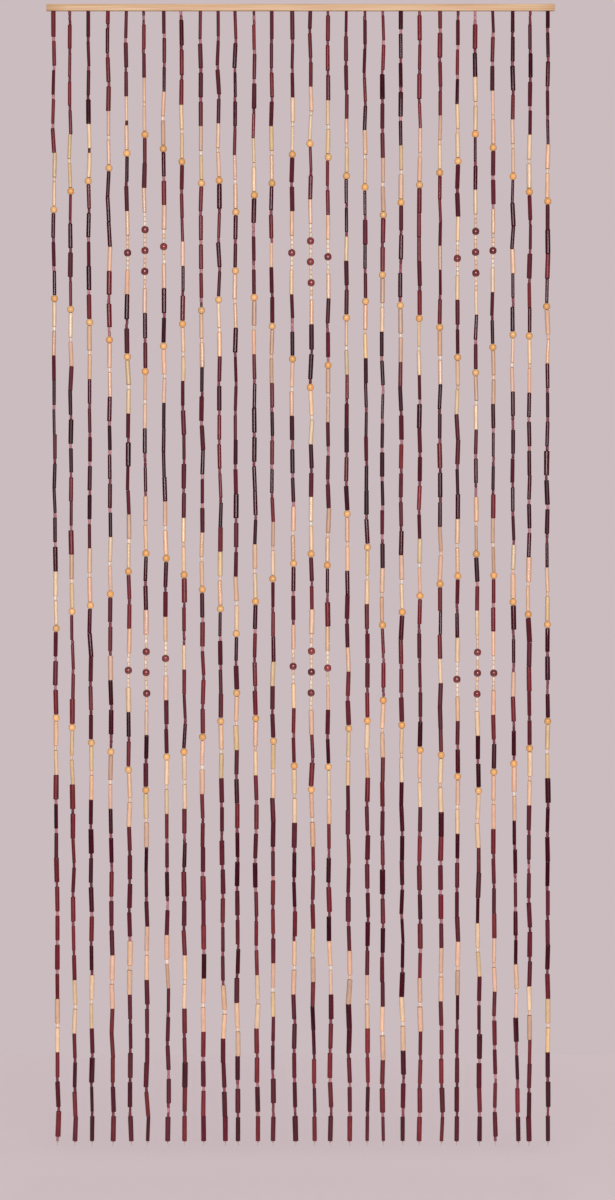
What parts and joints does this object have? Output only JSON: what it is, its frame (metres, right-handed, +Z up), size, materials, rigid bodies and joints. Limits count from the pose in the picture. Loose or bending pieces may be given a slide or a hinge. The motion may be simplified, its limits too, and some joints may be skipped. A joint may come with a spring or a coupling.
{
  "type": "bamboo door curtain",
  "caption": "Hanging door curtain of bamboo tubes, seed beads and round beads strung on parallel strands below a slim heading lath.",
  "frame": {"origin": "middle of the heading lath's top edge, where the curtain is hung", "axes": "+X along the lath's width, -Y out of the front that the picture shows, +Z up; the strands hang towards -Z"},
  "size_m": [0.9, 0.0136, 2.012],
  "materials": {
    "stained_bamboo": "glossy dark red-brown stain and lacquer",
    "natural_bamboo": "bare pale bamboo, satin, with fine lengthwise grain",
    "amber_wood": "satin amber lacquer on turned wood",
    "red_wood": "glossy dark red lacquer on turned wood",
    "lath_wood": "plain pale bamboo lath, satin",
    "string": "thin twisted thread"
  },
  "bodies": {
    "root": {"curtain": "stained_bamboo"}
  },
  "joints": []
}
